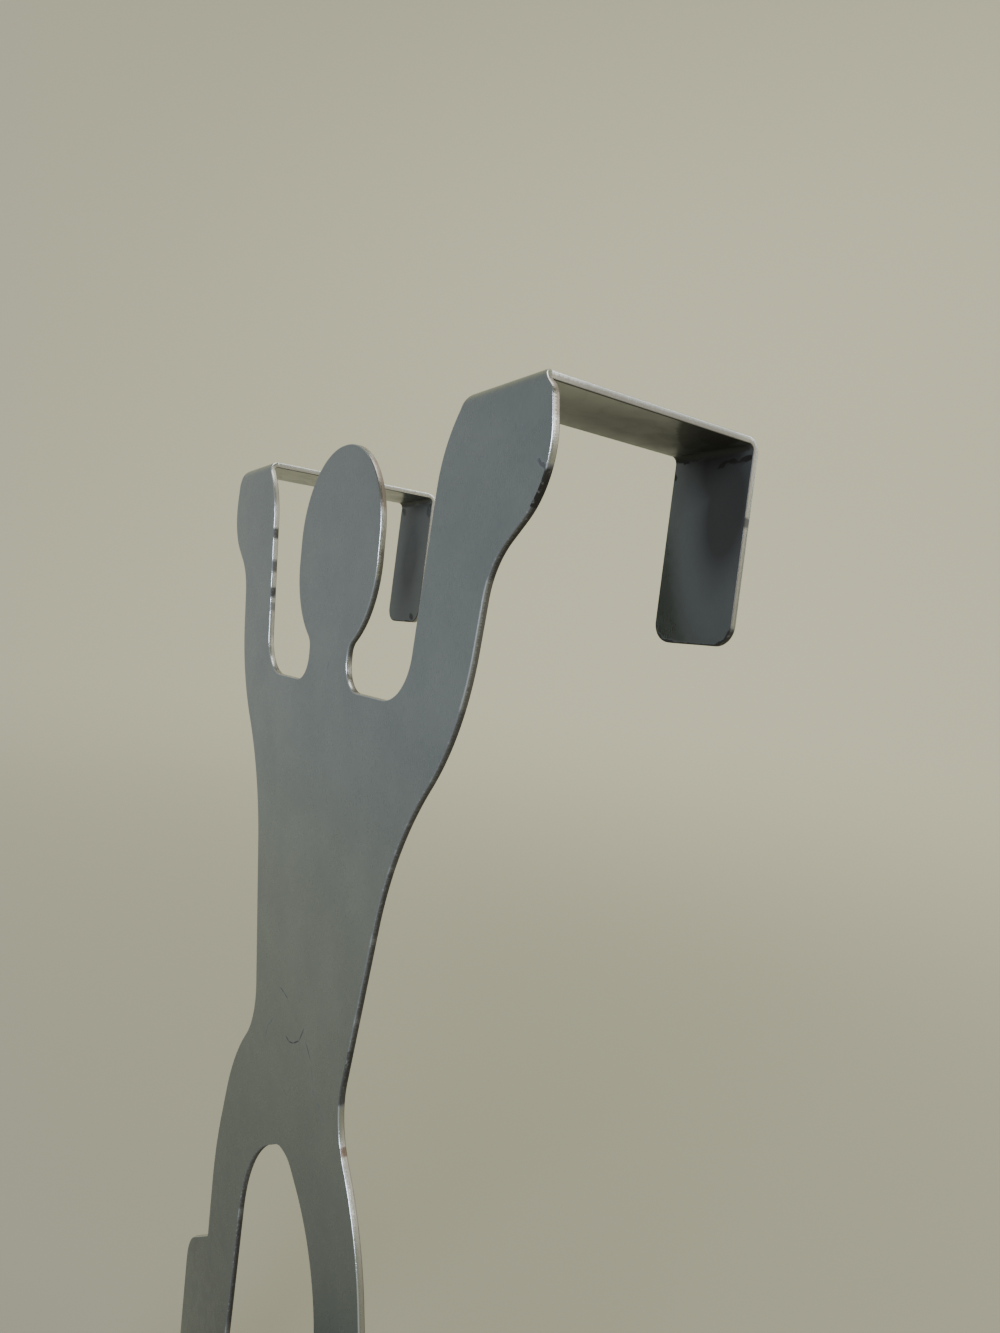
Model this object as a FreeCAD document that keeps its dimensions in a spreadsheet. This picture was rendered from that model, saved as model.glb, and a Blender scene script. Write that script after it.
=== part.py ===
import FreeCAD, Part
import math
import os

import Sketcher
from FreeCAD import Vector

# An over door hook: one steel sheet, cut to the outline of a figure with raised arms, and folded.
# Both hands fold back over the door's top edge and end in a tab behind it. Both feet fold into hooks.
# Frame: X to the viewer's right with the mirror plane at 0, Y towards the door with the sheet's back
# face at 0, Z up with the door's top edge at 0. Only the half at +X is drawn, and then mirrored.

SIZES = [
    ("sheet_thickness", 1.2, "the steel sheet"),
    ("fold_radius", 1.2, "inside radius of the folds over the door"),
    ("door_gap", 42.0, "from the sheet's back face to the tab, under the strap"),
    ("strap_inner_x", 42.5, "edge of the strap nearer to the head"),
    ("strap_width", 16.7, "strap over the door, and tab behind it"),
    ("tab_drop", 32.1, "tab's end below the door's top edge"),
    ("tab_lean", 2.2, "degrees that the tab leans towards the door"),
    ("tab_corner_radius", 3.5, "tab's two corners"),
    ("head_half_width", 17.9, "head's side, from the mirror plane"),
    ("crown_z", -1.0, "top of the head"),
    ("crown_radius", 17.5, ""),
    ("jaw_z", -31.9, "where the head's side turns in towards the neck"),
    ("jaw_radius", 17.8, ""),
    ("chin_z", -38.1, "where the head meets the neck"),
    ("chin_radius", 3.0, ""),
    ("neck_half_width", 8.9, "neck's side, from the mirror plane"),
    ("shoulder_z", -46.1, "bottom of the slot between head and arm"),
    ("neck_corner_radius", 5.2, "slot's corner beside the neck"),
    ("armpit_x", 31.9, "slot's corner beside the arm"),
    ("armpit_radius", 9.0, ""),
    ("thumb_x", 36.5, "where the hand widens from the arm's inner side"),
    ("thumb_z", -6.4, ""),
    ("thumb_radius", 21.0, ""),
    ("palm_flare", 1.7, "hand wider than the strap at the fold, on its inner side"),
    ("knuckle_flare", 2.6, "the same on its outer side"),
    ("knuckle_z", -2.2, "where the hand's outer side turns in towards the strap"),
    ("knuckle_rise", 1.0, "hand's outer side there, beyond its place at the fold"),
    ("knuckle_radius", 3.0, ""),
    ("hand_bulge", 2.8, "hand's outer side, beyond its place at the fold"),
    ("hand_z", -13.9, ""),
    ("hand_radius", 13.4, ""),
    ("wrist_x", 52.1, ""),
    ("wrist_z", -24.3, ""),
    ("wrist_radius", 12.6, ""),
    ("elbow_x", 48.6, ""),
    ("elbow_z", -48.1, ""),
    ("elbow_radius", 43.0, ""),
    ("ribs_x", 31.4, ""),
    ("ribs_z", -69.2, ""),
    ("ribs_radius", 60.0, ""),
    ("waist_x", 20.6, ""),
    ("waist_z", -118.9, ""),
    ("waist_radius", 14.0, ""),
    ("hip_x", 32.4, ""),
    ("hip_z", -132.1, ""),
    ("hip_radius", 41.0, ""),
    ("shin_x", 39.1, "leg's straight outer side above the foot"),
    ("thigh_z", -156.9, "corner where that side begins"),
    ("thigh_radius", 63.0, ""),
    ("ankle_z", -178.3, "notch above the foot"),
    ("ankle_radius", 0.9, ""),
    ("toe_x", 53.2, "foot's outer side"),
    ("toe_z", -188.0, "corner where the foot's top meets that side"),
    ("toe_radius", 10.0, ""),
    ("crotch_z", -136.0, "top of the arch between the legs"),
    ("crotch_x", 2.5, ""),
    ("crotch_radius", 7.0, ""),
    ("inner_thigh_x", 19.7, ""),
    ("inner_thigh_z", -146.3, ""),
    ("inner_thigh_radius", 27.5, ""),
    ("sole_inner_x", 24.6, "foot's inner side at its fold"),
    ("hook_floor_z", -230.0, "underside of the foot hook"),
    ("hook_fold_radius", 3.0, "inside radius of the foot hook's folds"),
    ("hook_reach", 28.0, "foot hook, from the sheet's back face to its front"),
    ("hook_rise", 24.0, "foot hook's tip above its underside"),
    ("tip_corner_radius", 10.0, "tip's two corners"),
]

STRAP_OUTER_X = "Sizes.strap_inner_x + Sizes.strap_width"
PALM_X = "Sizes.strap_inner_x - Sizes.palm_flare"
KNUCKLE_X = STRAP_OUTER_X + " + Sizes.knuckle_flare"
HAND_X = KNUCKLE_X + " + Sizes.hand_bulge"
HOOK_FLOOR_TOP = "Sizes.hook_floor_z + Sizes.sheet_thickness"
SOLE_Z = HOOK_FLOOR_TOP + " + 2 * Sizes.hook_fold_radius"
HOOK_TIP_Z = "Sizes.hook_floor_z + Sizes.hook_rise"
HOOK_INNER_Y = "Sizes.sheet_thickness - Sizes.hook_reach"
TAB_SHIFT = "Sizes.tab_drop * tan(Sizes.tab_lean * 1 deg)"
OUTER_FOLD_RADIUS = "Sizes.fold_radius + Sizes.sheet_thickness"
HOOK_OUTER_RADIUS = "Sizes.hook_fold_radius + Sizes.sheet_thickness"
# The share of a side that the roundings at its two ends may take up together
MOST_OF_A_SIDE = 0.98


def fill_sheet(document):
    """Puts each size in a cell of its own, with its name as alias."""
    sheet = document.addObject("Spreadsheet::Sheet", "Sizes")
    for row, (name, value, note) in enumerate(SIZES, start=1):
        sheet.set("A%d" % row, name)
        sheet.set("B%d" % row, str(value))
        sheet.set("C%d" % row, note)
        sheet.setAlias("B%d" % row, name)
    document.recompute()


def value_of(item, expression):
    return float(item.evalExpression(expression))


def origin_plane(body, role):
    return [feature for feature in body.Origin.OriginFeatures if feature.Role == role][0]


def add_sketch(body, name, plane, offset=None):
    """Adds a sketch on one of the body's own planes, shifted along its normal by an expression."""
    sketch = body.newObject("Sketcher::SketchObject", name)
    sketch.AttachmentSupport = [(origin_plane(body, plane), "")]
    sketch.MapMode = "FlatFace"
    if offset:
        sketch.setExpression("AttachmentOffset.Base.z", offset)
    return sketch


def add_line(sketch, start, end):
    return sketch.addGeometry(Part.LineSegment(Vector(*start, 0), Vector(*end, 0)), False)


def add_arc(sketch, centre, radius, first_angle, last_angle):
    circle = Part.Circle(Vector(*centre, 0), Vector(0, 0, 1), radius)
    arc = Part.ArcOfCircle(circle, math.radians(first_angle), math.radians(last_angle))
    return sketch.addGeometry(arc, False)


def constrain(sketch, kind, *references):
    sketch.addConstraint(Sketcher.Constraint(kind, *references))


def dimension(sketch, kind, references, expression):
    """Adds a dimension that the sheet drives."""
    value = value_of(sketch, expression)
    index = sketch.addConstraint(Sketcher.Constraint(kind, *references, value))
    sketch.setExpression("Constraints[%d]" % index, expression)


def place(sketch, edge, end, across=None, up=None):
    """Places one end of an edge by expressions, where "0" pins it to an axis."""
    for kind, axis, expression in (("DistanceX", -2, across), ("DistanceY", -1, up)):
        if expression == "0":
            constrain(sketch, "PointOnObject", edge, end, axis)
        elif expression:
            dimension(sketch, kind, (-1, 1, edge, end), expression)


def rounding_shares(points, radii):
    """Gives the share of each corner's radius that its two sides have room for."""
    reaches = []
    for before, corner, after, radius in zip(points, points[1:], points[2:], radii[1:]):
        turn = math.atan2(after[1] - corner[1], after[0] - corner[0])
        turn -= math.atan2(corner[1] - before[1], corner[0] - before[0])
        reaches.append(radius * abs(math.tan(turn / 2)))
    reaches = [0] + reaches + [0]
    shares = [1.0] * len(points)
    for index, (start, end) in enumerate(zip(points, points[1:])):
        taken = reaches[index] + reaches[index + 1]
        room = MOST_OF_A_SIDE * math.dist(start, end)
        if taken > room:
            shares[index] = min(shares[index], room / taken)
            shares[index + 1] = min(shares[index + 1], room / taken)
    return shares


def draw_corners(sketch, corners):
    """Draws sides through corners, each given as (across, up, radius or None), and rounds them."""
    points = [(value_of(sketch, across), value_of(sketch, up)) for across, up, _ in corners]
    radii = [value_of(sketch, radius) if radius else 0 for _, _, radius in corners]
    sides = [add_line(sketch, start, end) for start, end in zip(points, points[1:])]
    for side, following in zip(sides, sides[1:]):
        constrain(sketch, "Coincident", side, 2, following, 1)
    place(sketch, sides[0], 1, corners[0][0], corners[0][1])
    for side, (across, up, _) in zip(sides, corners[1:]):
        place(sketch, side, 2, across, up)
    shares = rounding_shares(points, radii)
    for side, (_, _, radius), share in zip(sides, corners[1:], shares[1:]):
        if radius:
            drive = radius if share == 1 else "(%s) * %.4f" % (radius, share)
            sketch.fillet(side, 2, value_of(sketch, drive), True, True)
            arc = sketch.GeometryCount - 2
            dimension(sketch, "Radius", (arc,), drive)
    return sides


def close_corners(sketch, corners):
    """Draws a closed outline through corners that are given as for draw_corners."""
    sides = draw_corners(sketch, corners)
    first, last = corners[0], corners[-1]
    start = (value_of(sketch, last[0]), value_of(sketch, last[1]))
    end = (value_of(sketch, first[0]), value_of(sketch, first[1]))
    closing = add_line(sketch, start, end)
    constrain(sketch, "Coincident", sides[-1], 2, closing, 1)
    constrain(sketch, "Coincident", closing, 2, sides[0], 1)


def draw_figure(body):
    """Draws the right half of the flat sheet up to its folds, anticlockwise from the crotch."""
    sketch = add_sketch(body, "FigureOutline", "XZ_Plane")
    close_corners(sketch, [
        ("0", "Sizes.crotch_z", None),
        ("Sizes.crotch_x", "Sizes.crotch_z", "Sizes.crotch_radius"),
        ("Sizes.inner_thigh_x", "Sizes.inner_thigh_z", "Sizes.inner_thigh_radius"),
        ("Sizes.sole_inner_x", SOLE_Z, None),
        ("Sizes.toe_x", SOLE_Z, None),
        ("Sizes.toe_x", "Sizes.toe_z", "Sizes.toe_radius"),
        ("Sizes.shin_x", "Sizes.ankle_z", "Sizes.ankle_radius"),
        ("Sizes.shin_x", "Sizes.thigh_z", "Sizes.thigh_radius"),
        ("Sizes.hip_x", "Sizes.hip_z", "Sizes.hip_radius"),
        ("Sizes.waist_x", "Sizes.waist_z", "Sizes.waist_radius"),
        ("Sizes.ribs_x", "Sizes.ribs_z", "Sizes.ribs_radius"),
        ("Sizes.elbow_x", "Sizes.elbow_z", "Sizes.elbow_radius"),
        ("Sizes.wrist_x", "Sizes.wrist_z", "Sizes.wrist_radius"),
        (HAND_X, "Sizes.hand_z", "Sizes.hand_radius"),
        (KNUCKLE_X + " + Sizes.knuckle_rise", "Sizes.knuckle_z", "Sizes.knuckle_radius"),
        (KNUCKLE_X, "-Sizes.fold_radius", None),
        (PALM_X, "-Sizes.fold_radius", None),
        ("Sizes.thumb_x", "Sizes.thumb_z", "Sizes.thumb_radius"),
        ("Sizes.armpit_x", "Sizes.shoulder_z", "Sizes.armpit_radius"),
        ("Sizes.neck_half_width", "Sizes.shoulder_z", "Sizes.neck_corner_radius"),
        ("Sizes.neck_half_width", "Sizes.chin_z", "Sizes.chin_radius"),
        ("Sizes.head_half_width", "Sizes.jaw_z", "Sizes.jaw_radius"),
        ("Sizes.head_half_width", "Sizes.crown_z", "Sizes.crown_radius"),
        ("0", "Sizes.crown_z", None),
    ])
    return sketch


def add_pad(body, name, sketch, length):
    pad = body.newObject("PartDesign::Pad", name)
    pad.Profile = sketch
    pad.setExpression("Length", length)
    return pad


def fold_hand(body):
    """Folds the hand over the door's edge, tapering from its own width to the strap's."""
    path = add_sketch(body, "HandFoldPath", "YZ_Plane")
    radius = value_of(path, "Sizes.fold_radius")
    arc = add_arc(path, (radius, -radius), radius, 90, 180)
    place(path, arc, 3, "Sizes.fold_radius", "-Sizes.fold_radius")
    constrain(path, "Vertical", arc, 1, arc, 3)
    constrain(path, "Horizontal", arc, 2, arc, 3)
    dimension(path, "Radius", (arc,), "Sizes.fold_radius")

    hand = add_sketch(body, "HandFoldStart", "XY_Plane", "-Sizes.fold_radius")
    close_corners(hand, [
        (PALM_X, "-Sizes.sheet_thickness", None),
        (KNUCKLE_X, "-Sizes.sheet_thickness", None),
        (KNUCKLE_X, "0", None),
        (PALM_X, "0", None),
    ])
    strap = add_sketch(body, "HandFoldEnd", "XZ_Plane", "-Sizes.fold_radius")
    close_corners(strap, [
        ("Sizes.strap_inner_x", "0", None),
        (STRAP_OUTER_X, "0", None),
        (STRAP_OUTER_X, "Sizes.sheet_thickness", None),
        ("Sizes.strap_inner_x", "Sizes.sheet_thickness", None),
    ])
    body.Document.recompute()
    fold = body.newObject("PartDesign::AdditivePipe", "HandFold")
    fold.Profile = hand
    fold.Spine = (path, ["Edge1"])
    fold.Sections = [strap]
    fold.Transformation = "Multisection"
    fold.Mode = "Frenet"


def draw_strap(body):
    """Draws the strap over the door and the tab behind it, in section."""
    sketch = add_sketch(body, "StrapSection", "YZ_Plane", "Sizes.strap_inner_x")
    lean = "Sizes.tab_lean * 1 deg"
    rear_y = "Sizes.door_gap + Sizes.sheet_thickness * (1 + sin(%s)) / cos(%s)" % (lean, lean)
    tab_y = "Sizes.door_gap - " + TAB_SHIFT
    close_corners(sketch, [
        ("Sizes.fold_radius", "0", None),
        ("Sizes.door_gap", "0", "Sizes.fold_radius"),
        (tab_y, "-Sizes.tab_drop", None),
        ("%s + Sizes.sheet_thickness * cos(%s)" % (tab_y, lean),
         "-Sizes.tab_drop - Sizes.sheet_thickness * sin(%s)" % lean, None),
        (rear_y, "Sizes.sheet_thickness", OUTER_FOLD_RADIUS),
        ("Sizes.fold_radius", "Sizes.sheet_thickness", None),
    ])
    return sketch


def draw_hook(body):
    """Draws the foot's hook in section: forward from the sole, and up to its tip."""
    sketch = add_sketch(body, "HookSection", "YZ_Plane", "Sizes.sole_inner_x")
    close_corners(sketch, [
        ("-Sizes.sheet_thickness", SOLE_Z, None),
        ("-Sizes.sheet_thickness", HOOK_FLOOR_TOP, "Sizes.hook_fold_radius"),
        (HOOK_INNER_Y, HOOK_FLOOR_TOP, "Sizes.hook_fold_radius"),
        (HOOK_INNER_Y, HOOK_TIP_Z, None),
        ("-Sizes.hook_reach", HOOK_TIP_Z, None),
        ("-Sizes.hook_reach", "Sizes.hook_floor_z", HOOK_OUTER_RADIUS),
        ("0", "Sizes.hook_floor_z", HOOK_OUTER_RADIUS),
        ("0", SOLE_Z, None),
    ])
    return sketch


def round_free_end(body, name, base, end_y, end_z, radius):
    """Rounds the two corners of the sheet's free end that lies at a height and depth."""
    thickness = value_of(body, "Sizes.sheet_thickness")
    corners = []
    for index, edge in enumerate(base.Shape.Edges, start=1):
        middle = edge.CenterOfMass
        near = math.dist((middle.y, middle.z), (end_y, end_z)) < thickness
        if near and math.isclose(edge.Length, thickness, rel_tol=0.01):
            corners.append("Edge%d" % index)
    fillet = body.newObject("PartDesign::Fillet", name)
    fillet.Base = (base, corners)
    fillet.setExpression("Radius", radius)
    body.Document.recompute()
    return fillet


def build_hook(document):
    fill_sheet(document)
    body = document.addObject("PartDesign::Body", "door_hook")
    body.Label = "door_hook"
    add_pad(body, "Figure", draw_figure(body), "Sizes.sheet_thickness")
    fold_hand(body)
    add_pad(body, "Strap", draw_strap(body), "Sizes.strap_width")
    foot = add_pad(body, "FootHook", draw_hook(body), "Sizes.toe_x - Sizes.sole_inner_x")
    document.recompute()

    half_sheet = value_of(body, "Sizes.sheet_thickness / 2")
    tab_y = value_of(body, "Sizes.door_gap - " + TAB_SHIFT) + half_sheet
    tab_z = value_of(body, "-Sizes.tab_drop")
    tip_y = value_of(body, "-Sizes.hook_reach") + half_sheet
    tip_z = value_of(body, HOOK_TIP_Z)
    tab = round_free_end(body, "TabCorners", foot, tab_y, tab_z, "Sizes.tab_corner_radius")
    round_free_end(body, "TipCorners", tab, tip_y, tip_z, "Sizes.tip_corner_radius")

    both = body.newObject("PartDesign::Mirrored", "BothSides")
    both.TransformMode = "Whole shape"
    both.MirrorPlane = (origin_plane(body, "YZ_Plane"), [""])
    body.Tip = both
    document.recompute()
    return body


def check(document, body):
    """Stops where a feature failed or the sheet isn't one valid solid."""
    for item in document.Objects:
        if "Invalid" in item.State or "Error" in item.State:
            raise RuntimeError("%s failed: %s" % (item.Label, item.State))
    if body.Shape.isNull() or not body.Shape.isValid() or len(body.Shape.Solids) != 1:
        raise RuntimeError("%s isn't one valid solid" % body.Label)


def main():
    document = FreeCAD.newDocument("over_door_hook")
    body = build_hook(document)
    check(document, body)
    os.makedirs("parts", exist_ok=True)
    body.Shape.exportStep("parts/%s.step" % body.Label)


main()
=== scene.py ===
import math

import bpy
from mathutils import Matrix, Vector


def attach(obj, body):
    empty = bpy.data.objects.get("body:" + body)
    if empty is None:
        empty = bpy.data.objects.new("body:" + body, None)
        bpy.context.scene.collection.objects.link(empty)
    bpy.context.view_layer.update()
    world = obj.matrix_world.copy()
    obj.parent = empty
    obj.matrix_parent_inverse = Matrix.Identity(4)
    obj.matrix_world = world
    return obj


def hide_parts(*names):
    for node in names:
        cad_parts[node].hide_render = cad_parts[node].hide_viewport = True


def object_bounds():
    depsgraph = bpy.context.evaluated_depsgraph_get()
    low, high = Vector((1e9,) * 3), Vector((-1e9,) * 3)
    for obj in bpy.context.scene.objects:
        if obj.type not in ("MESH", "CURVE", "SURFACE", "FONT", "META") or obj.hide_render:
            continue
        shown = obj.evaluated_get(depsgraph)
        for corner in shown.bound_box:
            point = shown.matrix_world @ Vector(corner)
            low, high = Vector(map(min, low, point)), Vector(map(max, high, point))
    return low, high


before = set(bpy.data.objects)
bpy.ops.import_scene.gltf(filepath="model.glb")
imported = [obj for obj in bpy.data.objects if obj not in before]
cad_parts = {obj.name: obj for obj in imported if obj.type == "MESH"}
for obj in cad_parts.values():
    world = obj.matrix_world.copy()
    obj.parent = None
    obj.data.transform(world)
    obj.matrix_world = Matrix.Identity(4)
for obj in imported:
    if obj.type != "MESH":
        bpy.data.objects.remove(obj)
cad_low, cad_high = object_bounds()

# The sheet is drawn flat, as it was cut, and then folded. All its sizes are in millimetres.
MM = 0.001
SHEET_THICKNESS = 1.2
EDGE_ROUNDING = 0.17
ROUNDING_STEPS = 3
HAND_FOLD_RADIUS = 1.2
DOOR_GAP = 42.0
TAB_LEAN = math.radians(2.2)
TAB_DROP = 32.1
TAB_CORNER_RADIUS = 3.5
STRAP_X = (42.5, 59.2)
HAND_X = (40.8, 61.8)
SOLE_X = (24.6, 53.2)
SOLE_Z = -222.8
HOOK_FLOOR_Z = -230.0
HOOK_OUTER_RADIUS = 4.2
HOOK_REACH = 28.0
HOOK_TIP_Z = -206.0
TIP_CORNER_RADIUS = 10.0
FOLD_STEPS = 10
# Degrees between neighbouring points of a rounded corner, and the longest stretch between them
CORNER_STEP = 3.0
LONGEST_STEP = 0.9
# Points of neighbouring folded faces nearer than this are one point
WELD_REACH = 0.01
# Folds turn less than this from face to face, and cut edges more
CUT_EDGE_ANGLE = math.radians(50)

# The right half of the figure from the crotch up to the crown: x, z and the corner's radius
HALF_FIGURE = [
    (0.0, -136.0, 0.0),
    (2.5, -136.0, 7.0),
    (19.7, -146.3, 27.5),
    (SOLE_X[0], SOLE_Z, 0.0),
    (SOLE_X[1], SOLE_Z, 0.0),
    (53.2, -188.0, 10.0),
    (39.1, -178.3, 0.9),
    (39.1, -156.9, 63.0),
    (32.4, -132.1, 41.0),
    (20.6, -118.9, 14.0),
    (31.4, -69.2, 60.0),
    (48.6, -48.1, 43.0),
    (52.1, -24.3, 12.6),
    (64.6, -13.9, 13.4),
    (62.8, -2.2, 3.0),
    (HAND_X[1], -HAND_FOLD_RADIUS, 0.0),
    (HAND_X[0], -HAND_FOLD_RADIUS, 0.0),
    (36.5, -6.4, 21.0),
    (31.9, -46.1, 9.0),
    (8.9, -46.1, 5.2),
    (8.9, -38.1, 3.0),
    (17.9, -31.9, 17.8),
    (17.9, -1.0, 17.5),
    (0.0, -1.0, 0.0),
]


def round_corner(before, corner, after, radius):
    """Gives the points of the arc that rounds a corner of a flat outline."""
    corner = Vector(corner)
    into = (corner - Vector(before)).normalized()
    out_of = (Vector(after) - corner).normalized()
    turn = into.angle_signed(out_of)
    reach = radius * math.tan(abs(turn) / 2)
    side = Vector((into.y, -into.x)) * math.copysign(radius, turn)
    start = corner - into * reach
    centre = start + side
    by_angle = math.degrees(abs(turn)) / CORNER_STEP
    by_length = abs(turn) * radius / LONGEST_STEP
    steps = math.ceil(max(by_angle, by_length))
    spoke = start - centre
    return [centre + Matrix.Rotation(-turn * step / steps, 2) @ spoke
            for step in range(steps + 1)]


def rounded_outline(corners):
    """Gives the points of an open outline through corners of (across, up, radius)."""
    points = [Vector(corners[0][:2])]
    for before, corner, after in zip(corners, corners[1:], corners[2:]):
        if corner[2]:
            points += round_corner(before[:2], corner[:2], after[:2], corner[2])
        else:
            points.append(Vector(corner[:2]))
    return points + [Vector(corners[-1][:2])]


def bend(centre, radius, first_angle, last_angle):
    """Gives the points of a clockwise bend in the YZ plane, from one angle to another."""
    turns = [first_angle + (last_angle - first_angle) * step / FOLD_STEPS
             for step in range(FOLD_STEPS + 1)]
    return [Vector(centre) + radius * Vector((math.cos(turn), math.sin(turn))) for turn in turns]


def strap_path():
    """Gives the way of the sheet's back face over the door, and where the tab ends.

    The way holds the hand's fold, the strap and the fold to the tab.
    """
    radius = HAND_FOLD_RADIUS
    rear_centre = DOOR_GAP - radius * math.tan((math.pi / 2 + TAB_LEAN) / 2)
    path = bend((radius, -radius), radius, math.pi, math.pi / 2)
    path += bend((rear_centre, -radius), radius, math.pi / 2, -TAB_LEAN)
    return path, Vector((DOOR_GAP - TAB_DROP * math.tan(TAB_LEAN), -TAB_DROP))


def hook_path():
    """Gives the way of the sheet's back face under the foot, and where the hook's tip ends."""
    radius = HOOK_OUTER_RADIUS
    front_y = radius - HOOK_REACH
    floor_centre_z = HOOK_FLOOR_Z + radius
    path = [Vector((0.0, SOLE_Z))]
    path += bend((-radius, floor_centre_z), radius, 0.0, -math.pi / 2)
    path += bend((front_y, floor_centre_z), radius, -math.pi / 2, -math.pi)
    return path, Vector((-HOOK_REACH, HOOK_TIP_Z))


class FlatSheet:
    """Collects the folded sheet's back face, with each point's place on the flat sheet as UV."""

    def __init__(self):
        self.points = []
        self.flat_places = []
        self.faces = []

    def add_face(self, corners):
        """Adds a face through corners, each given as its folded point and its flat place."""
        first = len(self.points)
        self.points += [Vector(point) * MM for point, _ in corners]
        self.flat_places += [Vector(place) * MM for _, place in corners]
        self.faces.append(range(first, len(self.points)))

    def add_figure(self):
        """Adds the flat figure, both halves in one face that looks towards the door."""
        right = rounded_outline(HALF_FIGURE)
        left = [Vector((-point.x, point.y)) for point in reversed(right[1:-1])]
        outline = [*right, *left]
        self.add_face([((x, 0.0, z), (x, z)) for x, z in reversed(outline)])

    def add_strip(self, side, path, end, widths, end_radius, flat_start, flat_sign):
        """Adds a folded strip and its rounded end, on the right (side 1) or left (side -1).

        On the flat sheet it runs from flat_start up (flat_sign 1) or down (flat_sign -1).
        """
        lengths = [0.0]
        for before, after in zip(path, path[1:]):
            lengths.append(lengths[-1] + (after - before).length)

        def corner(across, place, length):
            return (side * across, *place), (side * across, flat_start + flat_sign * length)

        rows = list(zip(widths, path, lengths))
        for row, next_row in zip(rows, rows[1:]):
            (inner, outer), place, length = row
            (next_inner, next_outer), next_place, next_length = next_row
            face = [corner(inner, place, length), corner(outer, place, length),
                    corner(next_outer, next_place, next_length),
                    corner(next_inner, next_place, next_length)]
            self.add_face(face[::-side * flat_sign])
        inner, outer = widths[-1]
        reach = (end - path[-1]).length
        along = (end - path[-1]) / reach
        end_corners = [(inner, 0.0, 0.0), (inner, reach, end_radius), (outer, reach, end_radius),
                       (outer, 0.0, 0.0)]
        rounded = [corner(across, path[-1] + along * length, lengths[-1] + length)
                   for across, length in rounded_outline(end_corners)]
        self.add_face(rounded[::side * flat_sign])

    def add_hand_and_foot(self, side):
        """Adds one hand's strap and tab, and the hook of the foot below it."""
        path, end = strap_path()
        taper = [min(step / FOLD_STEPS, 1.0) for step in range(len(path))]
        widths = [tuple(hand + (strap - hand) * share for hand, strap in zip(HAND_X, STRAP_X))
                  for share in taper]
        self.add_strip(side, path, end, widths, TAB_CORNER_RADIUS, -HAND_FOLD_RADIUS, 1)
        path, end = hook_path()
        self.add_strip(side, path, end, [SOLE_X] * len(path), TIP_CORNER_RADIUS, SOLE_Z, -1)

    def make_mesh(self, name):
        """Makes the mesh of the back face, with the flat places as its UV map."""
        mesh = bpy.data.meshes.new(name)
        mesh.from_pydata(self.points, [], self.faces)
        flat = mesh.uv_layers.new(name="flat_sheet")
        for loop in mesh.loops:
            flat.data[loop.index].uv = self.flat_places[loop.vertex_index]
        return mesh


def linear(hex_colour):
    """Turns an sRGB hex colour into a linear one."""
    channels = [int(hex_colour[start:start + 2], 16) / 255 for start in (1, 3, 5)]
    return [value / 12.92 if value <= 0.04045 else ((value + 0.055) / 1.055) ** 2.4
            for value in channels] + [1.0]


def add_node(material, kind, settings, inputs):
    """Adds a node with its settings, and fills its inputs with values or other nodes' outputs."""
    node = material.node_tree.nodes.new(kind)
    for name, value in settings.items():
        setattr(node, name, value)
    for name, value in inputs.items():
        if isinstance(value, bpy.types.NodeSocket):
            material.node_tree.links.new(value, node.inputs[name])
        else:
            node.inputs[name].default_value = value
    return node


def new_material(name):
    """Makes a material that holds no nodes yet."""
    material = bpy.data.materials.new(name)
    material.use_nodes = True
    material.node_tree.nodes.clear()
    return material


# Dirt, wear and painted shade, as strokes on the flat sheet: half width, strength, and the way
# from point to point, in millimetres. The straps and tabs lie above the hands there, from about 1
# up to 73.
FRONT_SMUDGES = [
    (0.35, 0.75, [(61.2, -11.2), (62.9, -12.4)]),
    (0.28, 0.45, [(56.8, -6.3), (57.1, -6.6)]),
    (0.4, 0.35, [(1.0, -42.0), (1.0, -42.8)]),
    (0.4, 0.3, [(11.0, -118.7), (11.6, -119.0)]),
    (0.4, 0.3, [(13.6, -119.6), (14.2, -119.9)]),
    (0.45, 0.25, [(15.6, -120.7), (16.2, -121.0)]),
]
FRONT_SCRATCHES = [
    (0.16, 0.75, [(-8.6, -107.4), (-6.2, -107.5), (-4.0, -108.0)]),
    (0.15, 0.9, [(-3.6, -115.0), (-1.7, -115.3), (0.3, -114.7), (3.0, -113.0), (4.8, -109.8)]),
    (0.17, 0.75, [(5.7, -111.6), (9.2, -114.1)]),
    (0.15, 0.5, [(-10.9, -114.7), (-13.2, -117.2), (-14.3, -120.1)]),
    (0.14, 0.45, [(9.4, -114.6), (10.6, -117.2)]),
]
# Black blobs along the folds and at a tab's end, and painted shade: dark lines inside the folds and
# a dark painted reflection across the right strap's underside
BACK_SMUDGES_AND_SHADE = [
    (0.55, 1.0, [(52.3, 43.9), (54.2, 42.9), (56.4, 43.2), (59.0, 42.8)]),
    (0.5, 0.9, [(55.6, 43.7), (57.6, 43.6)]),
    (0.5, 0.95, [(42.8, 41.3), (45.8, 42.2)]),
    (0.5, 0.9, [(42.5, 43.8), (42.9, 44.6)]),
    (0.45, 0.5, [(43.2, 39.4), (46.6, 38.5)]),
    (0.8, 0.85, [(-45.6, 71.9), (-46.6, 71.3)]),
    (0.9, 0.6, [(-57.9, 42.9), (-56.9, 43.7)]),
    (0.9, 0.7, [(-44.2, 43.6), (-43.6, 45.0)]),
    (1.1, 0.9, [(42.6, 41.2), (50.0, 41.3), (59.1, 41.2)]),
    (3.0, 0.9, [(62.7, 24.4), (48.5, 38.2)]),
    (4.5, 0.95, [(61.0, 31.5), (55.5, 37.0)]),
    (1.1, 0.75, [(-42.6, 41.2), (-50.0, 41.1), (-59.1, 41.2)]),
]
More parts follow.
